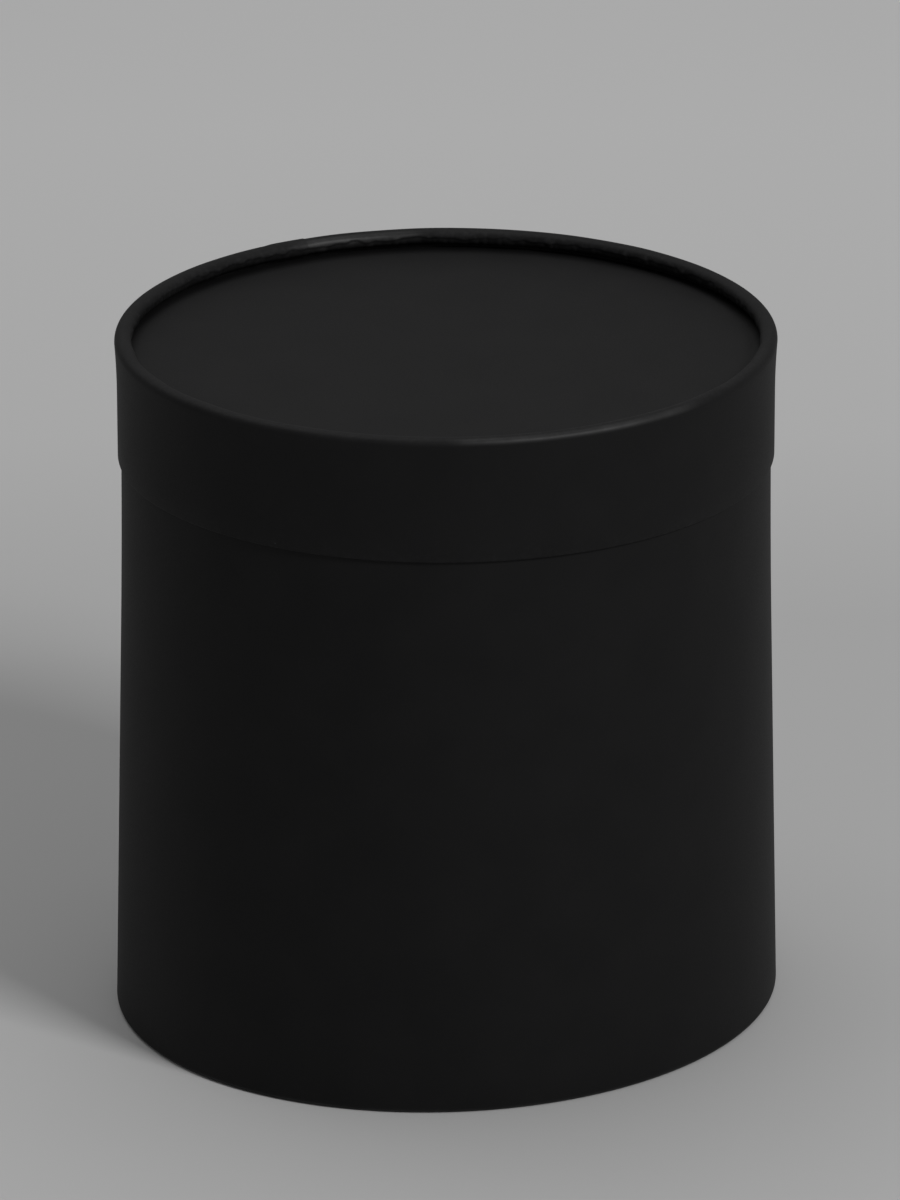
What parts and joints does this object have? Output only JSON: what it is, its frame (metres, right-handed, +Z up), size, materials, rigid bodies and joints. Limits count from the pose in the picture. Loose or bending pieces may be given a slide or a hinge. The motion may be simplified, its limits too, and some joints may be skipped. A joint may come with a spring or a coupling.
{
  "type": "cylindrical gift box",
  "caption": "Round gift box of paper-covered board: a tube with a rolled foot and a slip-over lid with a rolled rim that lifts straight off.",
  "frame": {"origin": "middle of the foot, on the floor that the box stands on", "axes": "+Z up along the box's axis, from the foot to the lid's rim; +X and +Y are any two square directions, as the box is round"},
  "size_m": [0.1526, 0.1526, 0.16],
  "materials": {
    "black_paper": "matt black dyed paper",
    "grey_board": "uncoated recycled board",
    "lining_paper": "uncoated off-white lining paper"
  },
  "bodies": {
    "tube": {"tube_outer_wrap": "black_paper", "tube_wall_board": "grey_board", "tube_lining": "lining_paper", "base_outer_face": "black_paper", "base_disc_board": "grey_board", "base_inner_face": "lining_paper"},
    "lid": {"lid_outer_wrap": "black_paper", "lid_wall_board": "grey_board", "lid_lining": "lining_paper", "lid_top_face": "black_paper", "lid_disc_board": "grey_board", "lid_inner_face": "lining_paper"}
  },
  "joints": [
    {"name": "lid_lift", "type": "slide", "parent": "tube", "child": "lid", "axis": [0, 0, 1], "range_m": [0, 0.1]}
  ]
}
